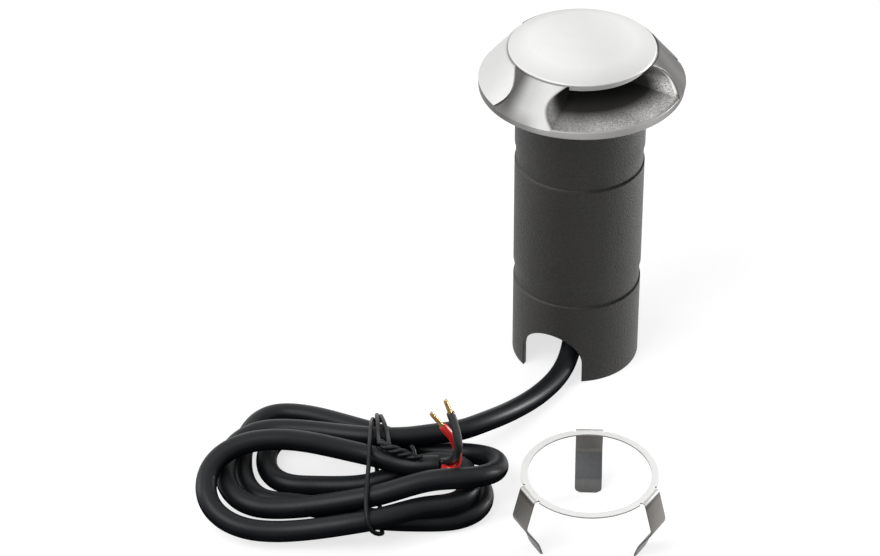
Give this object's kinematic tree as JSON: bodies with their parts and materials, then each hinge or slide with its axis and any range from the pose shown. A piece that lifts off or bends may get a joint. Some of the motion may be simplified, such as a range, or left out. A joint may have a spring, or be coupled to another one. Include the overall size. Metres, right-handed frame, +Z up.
{
  "type": "recessed ground uplight",
  "caption": "Round recessed ground light with a domed stainless head and a side window on a dark tube, shown with its spring-clip mounting ring and a hank of supply cable.",
  "frame": {"origin": "middle of the base of the light and its loose ring, on the surface they stand on, without the cable", "axes": "+Z up along the light's axis; +Y from the loose ring towards the light; +X to the right as seen from the ring's side"},
  "size_m": [0.1508, 0.1472, 0.1189],
  "materials": {
    "dark_powder_coat": "fine textured dark brown-grey powder coat",
    "satin_steel": "satin cast stainless steel",
    "polished_steel": "fine smooth stainless steel",
    "spring_steel": "plain rolled spring steel",
    "screw_steel": "plain stainless steel",
    "bare_aluminium": "turned, bare",
    "clear_glass": "clear",
    "black_rubber": "black, slightly sheened",
    "black_nylon": "black moulded nylon",
    "white_laminate": "white solder mask",
    "green_laminate": "green solder mask",
    "led_phosphor": "yellow phosphor",
    "red_insulation": "red core insulation",
    "black_insulation": "black core insulation",
    "bare_copper": "bare copper strands",
    "capacitor_sleeve": "dark blue sleeve"
  },
  "bodies": {
    "light": {"housing_body": "dark_powder_coat", "head_shell": "satin_steel", "dome_cap": "polished_steel", "window_blank_left": "polished_steel", "window_blank_rear": "polished_steel", "glare_shield": "bare_aluminium", "reflector_cone": "polished_steel", "reflector_screw": "screw_steel", "cap_screw_1": "screw_steel", "cap_screw_2": "screw_steel", "cap_screw_3": "screw_steel", "lens_gasket": "black_rubber", "lens_glass": "clear_glass", "lens_retainer": "black_nylon", "collimator": "clear_glass", "led_board": "white_laminate", "led_package": "led_phosphor", "flange_gasket": "black_rubber", "body_o_ring": "black_rubber", "heat_sink": "bare_aluminium", "sink_screw_1": "screw_steel", "sink_screw_2": "screw_steel", "sink_screw_3": "screw_steel", "led_lead_red": "red_insulation", "led_lead_black": "black_insulation", "driver_board": "green_laminate", "board_standoff_1": "screw_steel", "board_standoff_2": "screw_steel", "board_standoff_3": "screw_steel", "driver_capacitor": "capacitor_sleeve", "driver_inductor": "bare_copper", "terminal_block": "black_nylon", "gland_body": "black_nylon", "gland_lock_nut": "black_nylon", "gland_seal": "black_rubber", "gland_nut": "black_nylon", "cable_tail": "black_rubber", "inner_wire_red": "red_insulation", "inner_wire_black": "black_insulation", "mounting_ring": "polished_steel", "cable_lead": "black_rubber", "cable_hank": "black_rubber", "cable_tie": "black_rubber", "core_red": "red_insulation", "core_black": "black_insulation", "copper_red": "bare_copper", "copper_black": "bare_copper"},
    "clip_rear": {"spring_clip_rear": "spring_steel"},
    "clip_right": {"spring_clip_right": "spring_steel"},
    "clip_left": {"spring_clip_left": "spring_steel"}
  },
  "joints": [
    {"name": "clip_rear_flex", "type": "hinge", "parent": "light", "child": "clip_rear", "pos_m": [0.00129, -0.03159, 0.02215], "axis": [-0.9991, 0.0419, 0], "range_deg": [-8, 12], "stiffness_Nm_per_rad": 2.3},
    {"name": "clip_right_flex", "type": "hinge", "parent": "light", "child": "clip_right", "pos_m": [0.01838, -0.06429, 0.02215], "axis": [0.5358, 0.8443, 0], "range_deg": [-8, 12], "stiffness_Nm_per_rad": 2.3},
    {"name": "clip_left_flex", "type": "hinge", "parent": "light", "child": "clip_left", "pos_m": [-0.01848, -0.06274, 0.02215], "axis": [0.4633, -0.8862, 0], "range_deg": [-8, 12], "stiffness_Nm_per_rad": 2.3}
  ]
}
